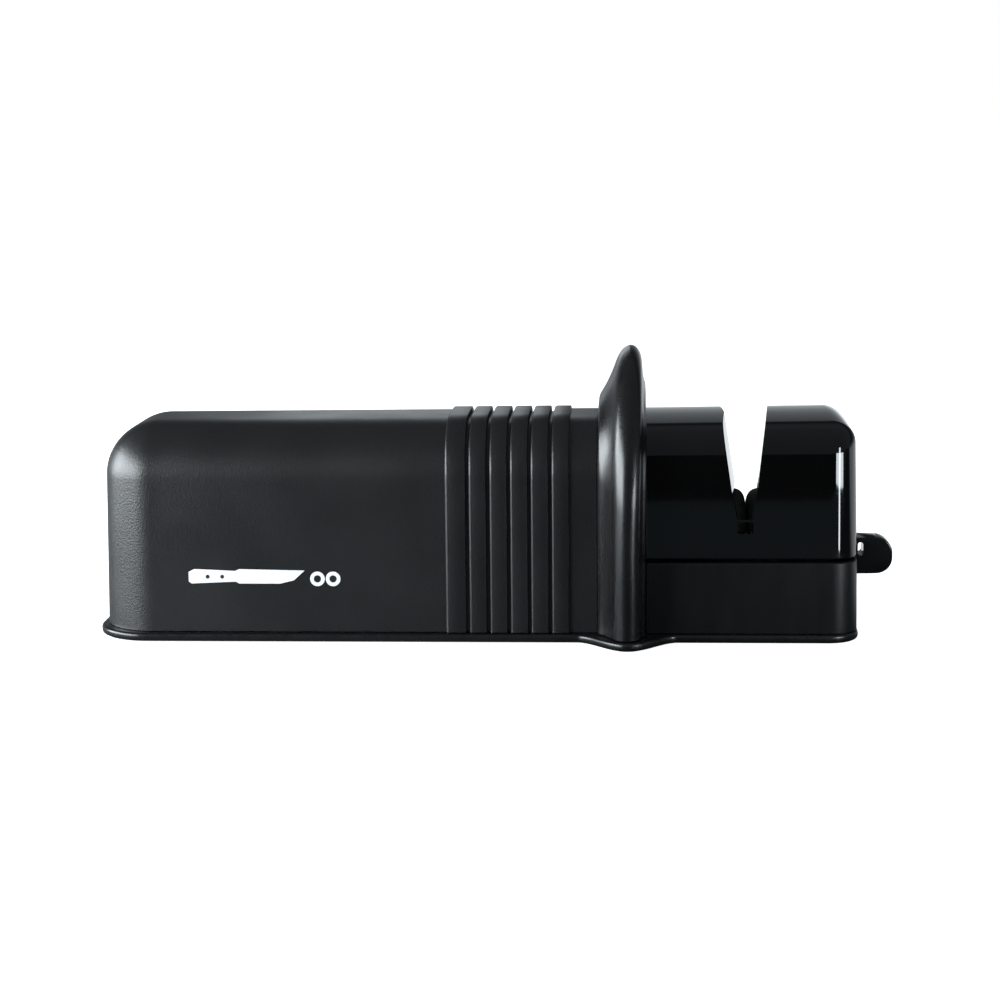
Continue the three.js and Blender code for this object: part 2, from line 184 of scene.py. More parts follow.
def rod_at(name, centre, radius, depth, axis="Z", vertices=48):
    """A rod centred on a point, along X, Y or Z."""
    let_go()
    turn = {"X": (0, math.pi / 2, 0), "Y": (math.pi / 2, 0, 0), "Z": (0, 0, 0)}[axis]
    bpy.ops.mesh.primitive_cylinder_add(
        vertices=vertices, radius=radius, depth=depth, location=centre, rotation=turn)
    return settle(name)


def ring_of(name, points):
    """An open ring of edges through the points."""
    let_go()
    bpy.ops.mesh.primitive_circle_add(vertices=len(points), radius=0.01, fill_type="NOTHING")
    obj = settle(name)
    for v, p in zip(obj.data.vertices, points):
        v.co = p
    return obj


def enter(obj):
    """Opens obj in edit mode."""
    take(obj)
    bpy.ops.object.mode_set(mode="EDIT")


def pick(obj, kind, test):
    """In edit mode, selects the verts, edges or faces that pass a test. Returns how many."""
    modes = {"verts": (True, False, False), "edges": (False, True, False), "faces": (False, False, True)}
    bpy.context.tool_settings.mesh_select_mode = modes[kind]
    mesh = bmesh.from_edit_mesh(obj.data)
    mesh.normal_update()
    for group in (mesh.faces, mesh.edges, mesh.verts):
        for part in group:
            part.select = False
    found = [part for part in getattr(mesh, kind) if test(part)]
    for part in found:
        part.select_set(True)
    mesh.select_flush_mode()
    bmesh.update_edit_mesh(obj.data)
    return len(found)


def middle(edge):
    """Midpoint of an edge."""
    return (edge.verts[0].co + edge.verts[1].co) / 2


def fold(edge):
    """Angle between an edge's two faces, or zero on an open edge."""
    return edge.calc_face_angle(0.0) if len(edge.link_faces) == 2 else 0.0


def round_corners(obj, test, radius, segments):
    """Rounds the corners of a flat outline."""
    enter(obj)
    pick(obj, "verts", test)
    bpy.ops.mesh.bevel(offset=radius, segments=segments, affect="VERTICES", profile=0.5)


def raise_through(obj, levels, anchor_x):
    """Extrudes a flat outline upwards. Each level is (height, share of the length, share of the width)."""
    enter(obj)
    bpy.ops.mesh.select_mode(type="FACE")
    bpy.ops.mesh.select_all(action="SELECT")
    z, sx, sy = levels[0]
    for high, wide_x, wide_y in levels[1:]:
        bpy.ops.mesh.extrude_region_move(TRANSFORM_OT_translate={"value": (0, 0, high - z)})
        bpy.ops.transform.resize(
            value=(wide_x / sx, wide_y / sy, 1), center_override=(anchor_x, 0, high))
        z, sx, sy = high, wide_x, wide_y
    make_outward(obj)


def make_outward(obj):
    """Merges doubles, then turns every face outwards."""
    enter(obj)
    bpy.ops.mesh.select_all(action="SELECT")
    bpy.ops.mesh.remove_doubles(threshold=1e-7)
    bpy.ops.mesh.normals_make_consistent(inside=False)
    let_go()


def skin_over(name, rings):
    """Bridges rings, in order, into one closed skin."""
    let_go()
    for ring in rings:
        ring.select_set(True)
    bpy.context.view_layer.objects.active = rings[0]
    bpy.ops.object.join()
    obj = settle(name)
    enter(obj)
    bpy.ops.mesh.select_mode(type="EDGE")
    bpy.ops.mesh.select_all(action="SELECT")
    bpy.ops.mesh.bridge_edge_loops(type="SINGLE")
    bpy.ops.mesh.select_all(action="SELECT")
    bpy.ops.mesh.fill_holes(sides=0)
    make_outward(obj)
    return obj


def combine(obj, tool, how="DIFFERENCE"):
    """Cuts a tool away from obj, or joins it on, and removes the tool."""
    take(obj)
    step = obj.modifiers.new("combine", "BOOLEAN")
    step.operation = how
    step.solver = "EXACT"
    step.object = tool
    bpy.ops.object.modifier_apply(modifier=step.name)
    bpy.data.objects.remove(tool)
    return obj


def ease_edges(obj, width, segments=2, above=35.0, test=None):
    """Rounds the sharp edges by a small width."""
    enter(obj)
    limit = math.radians(above)
    if pick(obj, "edges", lambda e: fold(e) > limit and (test is None or test(e))):
        bpy.ops.mesh.bevel(offset=width, segments=segments, affect="EDGES", profile=0.5, clamp_overlap=True)
    let_go()


def smooth(obj, angle=32.0):
    """Smooth shading that keeps the sharp edges sharp."""
    take(obj)
    bpy.ops.object.shade_smooth_by_angle(angle=math.radians(angle))
    let_go()


def moulding(name, x_flat, x_end, half, z0, top, plan, side_roll, end_roll, draft, crown, steps=14):
    """A moulding with drafted walls that roll into a gently crowned top. One end is flat, the other rounded."""
    big = max(side_roll, end_roll)
    way = 1 if x_end > x_flat else -1
    heights = [z0 + (top - big - z0) * i / 3 for i in range(3)] + [top - big - 0.25 * MM]
    heights += [top - big + big * math.sin(i / steps * math.pi / 2) for i in range(steps + 1)]

    def roll_in(z, radius):
        over = z - (top - radius)
        return 0 if over <= 0 else radius - math.sqrt(max(0.0, radius * radius - over * over))

    def bow(y, z):
        return crown * (y / half) ** 2 * max(0.0, (z - top + big) / big) ** 2

    insets = [(z, draft * (z - z0) + roll_in(z, side_roll), draft * (z - z0) + roll_in(z, end_roll))
              for z in heights]
    lean = draft * (top - z0)
    middle_half = half - lean - side_roll
    insets += [(top, lean + side_roll + middle_half * k, lean + end_roll + middle_half * k)
               for k in (0.15, 0.3, 0.45, 0.6, 0.75, 0.9, 0.97)]
    rings = []
    for z, side, end in insets:
        wide, tip = half - side, x_end - way * end
        rx = max(0.3 * MM, plan - 0.97 * end)
        ry = min(max(0.3 * MM, plan - 0.97 * side), 0.98 * wide)
        corner = []
        for i in range(17):
            turn = i / 16 * math.pi / 2
            corner.append((tip - way * rx * (1 - math.cos(turn)), wide - ry * (1 - math.sin(turn))))
        outline = [(x, -y) for x, y in reversed(corner)]
        outline += [(tip, (wide - ry) * i / 6) for i in range(-5, 6)] + corner
        outline = [(x_flat, -wide)] + outline + [(x_flat, wide)]
        outline += [(x_flat, wide * (1 - 2 * i / 8)) for i in range(1, 8)]
        rings.append(ring_of(name, [(x, y, z - bow(y, z)) for x, y in outline]))
    return skin_over(name, rings)


def even_out(obj):
    """Keeps the large flat faces flat where they run into rounded ones."""
    take(obj)
    step = obj.modifiers.new("even", "WEIGHTED_NORMAL")
    step.keep_sharp = True
    bpy.ops.object.modifier_apply(modifier=step.name)
    let_go()


def deliver(obj, node, slot, *materials):
    """Gives the piece its finish, and lets it stand for its CAD node."""
    obj.data.materials.clear()
    for material in materials:
        obj.data.materials.append(material)
    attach(obj, frame["nodes"][node]["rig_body"] if node else "body")
    if node:
        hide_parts(node)


# ------------------------------------------------------------------ finishes
class Recipe:
    """A material being mixed: adds nodes and joins them up."""

    def __init__(self, name):
        self.material = bpy.data.materials.new(name)
        self.material.use_nodes = True
        self.tree = self.material.node_tree
        self.shader = self.tree.nodes["Principled BSDF"]
        self.place = self.add("ShaderNodeTexCoord").outputs["Object"]

    def add(self, kind, **values):
        node = self.tree.nodes.new(kind)
        for key, value in values.items():
            if key in node.inputs:
                node.inputs[key].default_value = value
            else:
                setattr(node, key, value)
        return node

    def join(self, a, b):
        self.tree.links.new(a, b)

    def noise(self, scale, detail=4.0, rough=0.55, stretch=None):
        source = self.place
        if stretch:
            mapping = self.add("ShaderNodeMapping")
            mapping.inputs["Scale"].default_value = stretch
            self.join(source, mapping.inputs["Vector"])
            source = mapping.outputs["Vector"]
        node = self.add("ShaderNodeTexNoise")
        node.inputs["Scale"].default_value = scale
        node.inputs["Detail"].default_value = detail
        node.inputs["Roughness"].default_value = rough
        self.join(source, node.inputs["Vector"])
        return node.outputs["Fac"]

    def cells(self, scale, smoothness=0.6):
        node = self.add("ShaderNodeTexVoronoi", feature="SMOOTH_F1")
        node.inputs["Scale"].default_value = scale
        node.inputs["Smoothness"].default_value = smoothness
        self.join(self.place, node.inputs["Vector"])
        return node.outputs["Distance"]

    def between(self, factor, low, high, start=0.3, end=0.7):
        """Spreads a factor between two numbers."""
        node = self.add("ShaderNodeMapRange")
        for key, value in (("From Min", start), ("From Max", end), ("To Min", low), ("To Max", high)):
            node.inputs[key].default_value = value
        self.join(factor, node.inputs["Value"])
        return node.outputs["Result"]

    def tint(self, factor, dark, light, start=0.35, end=0.65):
        """Spreads a factor between two colours."""
        node = self.add("ShaderNodeValToRGB")
        first, last = node.color_ramp.elements
        first.position, last.position = start, end
        first.color, last.color = (*dark, 1), (*light, 1)
        self.join(factor, node.inputs["Fac"])
        return node.outputs["Color"]

    def relief(self, height, strength, depth, under=None):
        node = self.add("ShaderNodeBump")
        node.inputs["Strength"].default_value = strength
        node.inputs["Distance"].default_value = depth
        self.join(height, node.inputs["Height"])
        if under:
            self.join(under, node.inputs["Normal"])
        return node.outputs["Normal"]

    def finish(self, colour=None, rough=None, normal=None, **fixed):
        for key, value in fixed.items():
            self.shader.inputs[key.replace("_", " ")].default_value = value
        for value, key in ((colour, "Base Color"), (rough, "Roughness"), (normal, "Normal")):
            if value is not None:
                self.join(value, self.shader.inputs[key])
        return self.material


def shade(colour, factor):
    """A colour made darker or lighter."""
    return tuple(min(1.0, c * factor) for c in colour)


def textured_plastic(name, colour, rough=(0.35, 0.43), grain=0.26):
    """Spark-eroded moulding: fine even grain with faint cloudy wear."""
    r = Recipe(name)
    cloud = r.noise(70, 3, 0.5)
    speck = r.noise(1900, 3, 0.6)
    pits = r.cells(3000)
    colour_out = r.tint(speck, shade(colour, 0.78), shade(colour, 1.25), 0.3, 0.7)
    rough_out = r.between(cloud, rough[0], rough[1])
    first = r.relief(pits, grain, 0.10 * MM)
    second = r.relief(speck, grain * 0.7, 0.08 * MM, first)
    return r.finish(colour_out, rough_out, second, IOR=1.5)


def satin_plastic(name, colour, rough=(0.24, 0.33), shine=0.5):
    """Smooth moulding with a low sheen, and the faint streaks of handling."""
    r = Recipe(name)
    cloud = r.noise(110, 4, 0.55)
    streak = r.noise(420, 3, 0.6, (1.0, 1.0, 0.12))
    fine = r.noise(2600, 2, 0.5)
    colour_out = r.tint(cloud, shade(colour, 0.85), shade(colour, 1.2))
    rough_out = r.between(streak, rough[0], rough[1])
    first = r.relief(fine, 0.10, 0.04 * MM)
    second = r.relief(cloud, 0.05, 0.25 * MM, first)
    return r.finish(colour_out, rough_out, second, IOR=1.5, Specular_IOR_Level=shine)


def gloss_plastic(name, colour):
    """Polished moulding: a mirror with the slightest ripple and a few dull specks."""
    r = Recipe(name)
    ripple = r.noise(45, 2, 0.4)
    dust = r.noise(1300, 2, 0.6)
    colour_out = r.tint(ripple, shade(colour, 0.8), shade(colour, 1.25))
    rough_out = r.between(dust, 0.045, 0.085, 0.55, 0.75)
    normal = r.relief(ripple, 0.04, 0.25 * MM)
    return r.finish(colour_out, rough_out, normal, IOR=1.5)


def grinding_ceramic(name, colour):
    """Sintered ceramic: gritty, speckled light and dark."""
    r = Recipe(name)
    grit = r.cells(2600, 0.25)
    speck = r.noise(1500, 5, 0.7)
    colour_out = r.tint(speck, shade(colour, 0.45), shade(colour, 2.2), 0.35, 0.68)
    rough_out = r.between(speck, 0.65, 0.85)
    first = r.relief(grit, 0.5, 0.12 * MM)
    second = r.relief(speck, 0.4, 0.10 * MM, first)
    return r.finish(colour_out, rough_out, second, IOR=1.6)


def turned_steel(name):
    """Bright steel with fine turning marks round the X axis."""
    r = Recipe(name)
    marks = r.noise(900, 3, 0.6, (6.0, 0.6, 0.6))
    cloud = r.noise(160, 3, 0.5)
    colour_out = r.tint(cloud, (0.40, 0.40, 0.41), (0.58, 0.58, 0.60))
    rough_out = r.between(marks, 0.22, 0.38)
    normal = r.relief(marks, 0.12, 0.05 * MM)
    return r.finish(colour_out, rough_out, normal, Metallic=1.0)


def moulded_rubber(name):
    """Non-slip rubber: a fine diamond relief with dusty wear."""
    r = Recipe(name)
    turn = r.add("ShaderNodeMapping")
    turn.inputs["Rotation"].default_value = (0, 0, math.radians(45))
    r.join(r.place, turn.inputs["Vector"])
    waves = []
    for direction in ("X", "Y"):
        wave = r.add("ShaderNodeTexWave", wave_type="BANDS", bands_direction=direction)
        wave.inputs["Scale"].default_value = 160
        r.join(turn.outputs["Vector"], wave.inputs["Vector"])
        waves.append(wave.outputs["Fac"])
    knurl = r.add("ShaderNodeMath", operation="MULTIPLY")
    r.join(waves[0], knurl.inputs[0])
    r.join(waves[1], knurl.inputs[1])
    dust = r.noise(240, 5, 0.65)
    colour_out = r.tint(dust, (0.012, 0.012, 0.012), (0.030, 0.029, 0.028))
    rough_out = r.between(dust, 0.72, 0.92)
    normal = r.relief(knurl.outputs["Value"], 0.6, 0.25 * MM)
    return r.finish(colour_out, rough_out, normal, IOR=1.45)


def printed_ink(name, colour):
    """Pad-printed ink: flat white with thin spots that follow the moulding's grain."""
    r = Recipe(name)
    thin = r.noise(1900, 3, 0.6)
    colour_out = r.tint(thin, shade(colour, 0.86), shade(colour, 1.04), 0.3, 0.6)
    rough_out = r.between(thin, 0.42, 0.58)
    normal = r.relief(thin, 0.12, 0.05 * MM)
    return r.finish(colour_out, rough_out, normal, IOR=1.45)


FINISHES = {}


class SHARPENER_OT_finishes(bpy.types.Operator):
    """Mix the materials of every piece"""
    bl_idname = "sharpener.finishes"
    bl_label = "Finishes"

    def execute(self, context):
        c = context.scene.sharpener_finish
        FINISHES.update(
            grip=textured_plastic("textured_black", c.grip),
            satin=satin_plastic("satin_black", c.satin),
            housing=satin_plastic("housing_black", c.satin, (0.34, 0.44), 0.28),
            gloss=gloss_plastic("polished_black", c.gloss),
            inner=textured_plastic("inner_moulding", (0.012, 0.012, 0.013), (0.5, 0.62), 0.15),
            ceramic=grinding_ceramic("grinding_ceramic", c.ceramic),
            steel=turned_steel("turned_steel"),
            rubber=moulded_rubber("sole_rubber"),
            ink=printed_ink("white_ink", c.ink),
        )
        return {"FINISHED"}


# ------------------------------------------------------------------ grip
class SHARPENER_OT_grip(bpy.types.Operator):
    """Model the grip with its finger bands"""
    bl_idname = "sharpener.grip"
    bl_label = "Grip"

    def execute(self, context):
        s = context.scene.sharpener_shape
        x0, x1, half = -80.93 * MM, 21.3 * MM, 18.1 * MM
        z0, top = 2.0 * MM, 44.5 * MM
        grip = moulding("grip", x1, x0, half, z0, top, s.handle_corner, s.handle_roll, s.handle_end_roll,
                        0.022, 0.3 * MM, 16)
        self.add_bands(grip, s, z0)
        # the crest falls slightly towards the free end
        for v in grip.data.vertices:
            back = (x1 - v.co.x) / (x1 - x0)
            v.co.z -= 0.5 * MM * max(0.0, back) * (v.co.z - z0) / (top - z0)
        smooth(grip, 30)
        deliver(grip, "handle_shell", "textured_shell", FINISHES["grip"])
        return {"FINISHED"}

    def add_bands(self, grip, s, z0):
        first, others = 4.1, 3.5
        places = (-9.25, -4.5, -0.3, 3.85, 8.0, 12.2)
        bands = [(x * MM, (x + (first if x == places[0] else others)) * MM) for x in places]
        enter(grip)
        for a, b in bands:
            for x in (a, b):
                bpy.ops.mesh.select_all(action="SELECT")
                bpy.ops.mesh.bisect(plane_co=(x, 0, 0), plane_no=(1, 0, 0))

        grooves = [(b, a) for (_, b), (a, _) in zip(bands, bands[1:])]

        def skin_in(spans):
            return lambda f: (any(a < f.calc_center_median().x < b for a, b in spans)
                              and abs(f.normal.x) < 0.5 and f.normal.z > -0.5)

        for spans, height in ((grooves, -s.groove_depth), (bands, s.rib_height)):
            pick(grip, "faces", skin_in(spans))
            bpy.ops.mesh.extrude_region_shrink_fatten(TRANSFORM_OT_shrink_fatten={"value": height})
        let_go()
        starts, ends = [a for a, b in bands], [b for a, b in bands]

        def outer(e, ends_at):
            return e.is_convex and middle(e).z > z0 + 0.1 * MM and any(abs(middle(e).x - x) < 1e-5 for x in ends_at)

        ease_edges(grip, 0.55 * MM, 4, 55, lambda e: outer(e, starts))
        ease_edges(grip, 0.12 * MM, 2, 55, lambda e: outer(e, ends))


# ------------------------------------------------------------------ finger guard
class SHARPENER_OT_guard(bpy.types.Operator):
    """Model the finger guard as a skin over its sections"""
    bl_idname = "sharpener.guard"
    bl_label = "Finger guard"

    # (place along the grip in mm, share of the way out to the rim)
    stations = (
        (21.45, 0.02), (21.48, 0.10), (21.60, 0.155), (21.85, 0.20), (22.2, 0.25), (22.6, 0.31), (23.0, 0.38),
        (23.4, 0.455), (23.75, 0.53), (24.05, 0.60), (24.3, 0.665), (24.52, 0.73), (24.75, 0.785), (25.05, 0.845),
        (25.4, 0.896), (25.8, 0.938), (26.25, 0.970), (26.75, 0.991), (27.25, 1.0), (27.75, 0.994), (28.25, 0.975),
        (28.7, 0.944), (29.1, 0.904), (29.45, 0.855), (29.7, 0.80), (29.9, 0.73), (30.1, 0.63), (30.3, 0.52),
        (30.6, 0.42), (30.95, 0.36))

    def execute(self, context):
        rings = [ring_of("station", self.section(x, t)) for x, t in self.stations]
        guard = skin_over("guard", rings)
        # a flat block closes the narrow gap towards the head
        head_side = block_at("head_side", 30.4 * MM, 31.22 * MM, -16.5 * MM, 16.5 * MM, 2.3 * MM, 42 * MM)
        combine(guard, head_side, "UNION")
        smooth(guard, 50)
        deliver(guard, "finger_guard", "satin_shell", FINISHES["satin"])
        return {"FINISHED"}

    def section(self, x, t, steps=26):
        half, top = 18.5 + t * 8.05, 45.25 + t * 13.05
        wide, tall = 10.5 + t * 15.3, 11 + t * 20
        points = []
        for i in range(steps + 1):
            turn = i / steps * math.pi / 2
            points.append((x, half - wide + wide * math.cos(turn), top - tall + tall * math.sin(turn)))
        for i in range(steps, -1, -1):
            turn = i / steps * math.pi / 2
            points.append((x, -half + wide - wide * math.cos(turn), top - tall + tall * math.sin(turn)))
        low = 2.12
        stops = 6
        left, right = points[-1], points[0]
        down = [(x, left[1], left[2] + (low - left[2]) * i / stops) for i in range(1, stops + 1)]
        floor = [(x, left[1] + (right[1] - left[1]) * i / stops, low) for i in range(1, stops)]
        up = [(x, right[1], low + (right[2] - low) * i / stops) for i in range(stops)]
        # the rim leans a little towards the head as it rises
        return [((a + 0.85 * t * max(0.0, c - 20) / 38) * MM, b * MM, c * MM)
                for a, b, c in points + down + floor + up]


# ------------------------------------------------------------------ head
def notch_tool():
    """The V the blade runs in: askew across the head, closed below at the front and open lower at the rear."""
    front = ((45.37, 50), (48.56, 28.8), (49.4, 25.2), (52.5, 25.2), (52.6, 27.2), (53.04, 28.8), (55.33, 50))
    centre = ((46.54, 50), (49.9, 28.8), (50.2, 15), (53.6, 15), (53.8, 20), (54.4, 28.8), (56.69, 50))
    rear = ((45.94, 50), (49.2, 28.8), (49.6, 22.4), (54.8, 22.4), (55.2, 25), (55.76, 28.8), (58.05, 50))
    wall, beyond = 18.4, 24
    sections = ((-beyond, front), (-wall, front), (0, centre), (wall, rear), (beyond, rear))
    return skin_over("notch", [ring_of("notch", [(x * MM, y * MM, z * MM) for x, z in outline])
                               for y, outline in sections])


def lug_hole():
    """The socket in the head's end that holds the lug's root."""
    return block_at("lug_hole", 68.4 * MM, 76 * MM, -3.0 * MM, 3.0 * MM, 10.1 * MM, 19.5 * MM)


class SHARPENER_OT_cover(bpy.types.Operator):
    """Model the polished cover with its notch, slot and window"""
    bl_idname = "sharpener.cover"
    bl_label = "Polished cover"

    def execute(self, context):
        s = context.scene.sharpener_shape
        x0, x1, half = 31.3 * MM, 73.75 * MM, 18.5 * MM
        z0, top = 17.05 * MM, 44.4 * MM
        cover = moulding("cover", x0, x1, half, z0, top, 6 * MM, s.head_roll, s.head_end_roll, 0.026, 1.0 * MM, 14)
        # the crown climbs slightly towards the free end
        climb, start, run = 0.3 * MM, 40 * MM, 26 * MM
        for v in cover.data.vertices:
            high = max(0.0, (v.co.z - z0) / (top - z0))
            v.co.z += climb * (v.co.x - start) / run * high ** 2
        ease_edges(cover, s.seam_round, 3, 60, lambda e: middle(e).z < z0 + 1e-5)
        combine(cover, block_at("room", 33.5 * MM, 70.7 * MM, -15.4 * MM, 15.4 * MM, 10 * MM, 29.8 * MM))
        for a, b in ((33.5, 43.8), (60.1, 69.7)):
            combine(cover, block_at("pocket", a * MM, b * MM, -13 * MM, 13 * MM, 20 * MM, 40.6 * MM))
        combine(cover, notch_tool())
        window_x, window_half = 51.0, 1.6
        window = block_at("window", (window_x - window_half) * MM, (window_x + window_half) * MM,
                          -25 * MM, -14 * MM, 22.3 * MM, 24.7 * MM)
        ease_edges(window, 0.4 * MM, 3, 60)
        combine(cover, window)
        combine(cover, lug_hole())
        make_outward(cover)
        smooth(cover, 32)
        even_out(cover)
        deliver(cover, "head_cover", "gloss_shell", FINISHES["gloss"])
        return {"FINISHED"}


class SHARPENER_OT_housing(bpy.types.Operator):
    """Model the lower half of the head"""
    bl_idname = "sharpener.housing"
    bl_label = "Lower housing"

    def execute(self, context):
        s = context.scene.sharpener_shape
        x0, x1, half = 31.3 * MM, 73.9 * MM, 18.7 * MM
        z0, top = 2.0 * MM, 16.45 * MM
        shell = sheet_at("housing", x0, x1, -half, half, z0)
        round_corners(shell, lambda v: v.co.x > x1 - 1e-5, 5.5 * MM, 12)
        long = x1 - x0
        lean = 0.012 * (top - z0)
        raise_through(shell, [(z0, 1, 1), (top, 1 - lean / long, 1 - lean / half)], x0)
        ease_edges(shell, s.seam_round, 3, 60, lambda e: middle(e).z > top - 1e-5)
        combine(shell, block_at("room", 33.5 * MM, 71.7 * MM, -16.5 * MM, 16.5 * MM, 0, 20 * MM))
        for y in (-11.8, 11.8):
            post = rod_at("post", (67.2 * MM, y * MM, 10.2 * MM), 4.1 * MM, 11.2 * MM)
            combine(post, rod_at("pilot", (67.2 * MM, y * MM, 8 * MM), 1.6 * MM, 12.4 * MM))
            combine(shell, post, "UNION")
            web = sorted((y, math.copysign(17.5, y)))
            tie = block_at("tie", 66.2 * MM, 68.2 * MM, web[0] * MM, web[1] * MM, 6 * MM, 15.8 * MM)
            combine(tie, rod_at("pilot", (67.2 * MM, y * MM, 8 * MM), 3.9 * MM, 30 * MM))
            combine(shell, tie, "UNION")
        combine(shell, lug_hole())
        make_outward(shell)
        smooth(shell, 32)
        even_out(shell)
        deliver(shell, "head_housing", "satin_shell", FINISHES["housing"])
        return {"FINISHED"}


class SHARPENER_OT_lug(bpy.types.Operator):
    """Model the hanging lug with its pill-shaped hole"""
    bl_idname = "sharpener.lug"
    bl_label = "Hanging lug"

    def execute(self, context):
        mid = 14.8
        lug = block_at("lug", 69.8 * MM, 82.15 * MM, -2.7 * MM, 2.7 * MM, (mid - 3.8) * MM, (mid + 3.8) * MM)
        enter(lug)
        pick(lug, "edges", lambda e: middle(e).x > 82 * MM and abs(middle(e).z - mid * MM) > 3.6 * MM)
        bpy.ops.mesh.bevel(offset=3.3 * MM, segments=10, affect="EDGES", profile=0.5)
        let_go()
        foot = block_at("foot", 69.8 * MM, 74.3 * MM, -2.7 * MM, 2.7 * MM, (mid - 4.25) * MM, (mid + 4.25) * MM)
        combine(lug, foot, "UNION")
        flange = block_at("flange", 68.9 * MM, 70.2 * MM, -4.7 * MM, 4.7 * MM, (mid - 4.25) * MM, (mid + 4.25) * MM)
        combine(lug, flange, "UNION")
        ease_edges(lug, 1.0 * MM, 5, 50, lambda e: abs(middle(e).x - 74.3 * MM) < 1e-5
                   and abs(middle(e).z - mid * MM) < 3.9 * MM and abs(middle(e).y) < 1e-4)
        x, z, r, reach = 75.55 * MM, 16.2 * MM, 0.55 * MM, 0.85 * MM
        slot = rod_at("slot", (x, 0, z + reach), r, 20 * MM, "Y", 32)
        combine(slot, rod_at("slot_low", (x, 0, z - reach), r, 20 * MM, "Y", 32), "UNION")
        combine(slot, block_at("slot_mid", x - r, x + r, -10 * MM, 10 * MM, z - reach, z + reach), "UNION")
        combine(lug, slot)
        ease_edges(lug, 0.75 * MM, 5, 50, lambda e: middle(e).x > 77 * MM)
        make_outward(lug)
        smooth(lug, 32)
        deliver(lug, "hanging_lug", "gloss_shell", FINISHES["gloss"])
        return {"FINISHED"}


# ------------------------------------------------------------------ base
class SHARPENER_OT_base(bpy.types.Operator):
    """Model the base plate, with its bead rim and the bulge under the guard"""
    bl_idname = "sharpener.base"
    bl_label = "Base plate"

    def execute(self, context):
        plate = ring_of("plate", [(x * MM, y * MM, 0.12 * MM) for x, y in self.outline()])
        enter(plate)
        bpy.ops.mesh.select_all(action="SELECT")
        bpy.ops.mesh.edge_face_add()
        bpy.ops.mesh.extrude_region_move(TRANSFORM_OT_translate={"value": (0, 0, 1.73 * MM)})
        make_outward(plate)
        ease_edges(plate, 0.6 * MM, 4, 60)
        wells = [(-60, 0), (6, 0), (67.2, -11.8), (67.2, 11.8), (38.4, -10.5), (38.4, 10.5)]
        for x, y in wells:
            combine(plate, rod_at("boss", (x * MM, y * MM, 2.7 * MM), 4.05 * MM, 2.7 * MM), "UNION")
            combine(plate, rod_at("well", (x * MM, y * MM, 1.2 * MM), 3.0 * MM, 3.2 * MM))
            combine(plate, rod_at("bore", (x * MM, y * MM, 3 * MM), 1.6 * MM, 6 * MM))
        for a, b in ((-74.3, 12.3), (39.7, 64.3)):
            pocket = block_at("pocket", a * MM, b * MM, -14.8 * MM, 14.8 * MM, -1 * MM, 1.2 * MM)
            for x, y in wells:
                combine(pocket, rod_at("clear", (x * MM, y * MM, 0), 4.1 * MM, 8 * MM))
            combine(plate, pocket)
        make_outward(plate)
        smooth(plate, 32)
        deliver(plate, "base_plate", "base", FINISHES["satin"])
        return {"FINISHED"}

    def outline(self):
        x0, x1, half, bulge, mid = -82.13, 74.18, 19.68, 27.38, 27.4
        r0, r1 = 11.5, 6.0

        def width(x):
            d = abs(x - mid) / 10.0
            return half + (bulge - half) * (0 if d >= 1 else (0.5 + 0.5 * math.cos(d * math.pi)) ** 0.8)

        side = []
        for i in range(17):
            t = math.pi - i / 16 * math.pi / 2
            side.append((x0 + r0 + r0 * math.cos(t), half - r0 + r0 * math.sin(t)))
        for i in range(61):
            x = mid - 10.5 + i * 0.35
            side.append((x, width(x)))
        for i in range(13):
            t = math.pi / 2 - i / 12 * math.pi / 2
            side.append((x1 - r1 + r1 * math.cos(t), half - 0.6 - r1 + 0.6 * (1 - i / 12) + r1 * math.sin(t)))
        return side + [(x, -y) for x, y in reversed(side)]


# ------------------------------------------------------------------ wheels
class SHARPENER_OT_wheels(bpy.types.Operator):
    """Model the two grinding wheels, whose rims meet in a V"""
    bl_idname = "sharpener.wheels"
    bl_label = "Grinding wheels"

    def execute(self, context):
        s = context.scene.sharpener_shape
        z = 15.9 * MM
        width = 6.7 * MM
        for side, name in ((-1, "left"), (1, "right")):
            inner = NOTCH_X * MM + side * 0.2 * MM
            centre = inner + side * width / 2
            wheel = rod_at("wheel_" + name, (centre, 0, z), s.wheel_radius - 0.02 * MM, width, "X", 96)
            enter(wheel)
            pick(wheel, "edges", lambda e: abs(math.hypot(middle(e).y, middle(e).z - z) - s.wheel_radius) < 0.2 * MM
                 and abs(abs(middle(e).x - centre) - width / 2) < 1e-5)
            bpy.ops.mesh.bevel(offset=2.4 * MM, segments=9, affect="EDGES", profile=0.5)
            # shallow web on both faces
            pick(wheel, "faces", lambda f: abs(f.normal.x) > 0.9 and len(f.verts) > 40)
            bpy.ops.mesh.inset(thickness=1.6 * MM, use_individual=True)
            bpy.ops.mesh.extrude_region_shrink_fatten(TRANSFORM_OT_shrink_fatten={"value": -0.35 * MM})
            bpy.ops.mesh.inset(thickness=0.3 * MM, use_individual=True)
            let_go()
            combine(wheel, rod_at("bore", (centre, 0, z), 5.0 * MM, 20 * MM, "X", 64))
            make_outward(wheel)
            smooth(wheel, 32)
            deliver(wheel, "grinding_wheel_" + name, "ceramic", FINISHES["ceramic"])
        return {"FINISHED"}


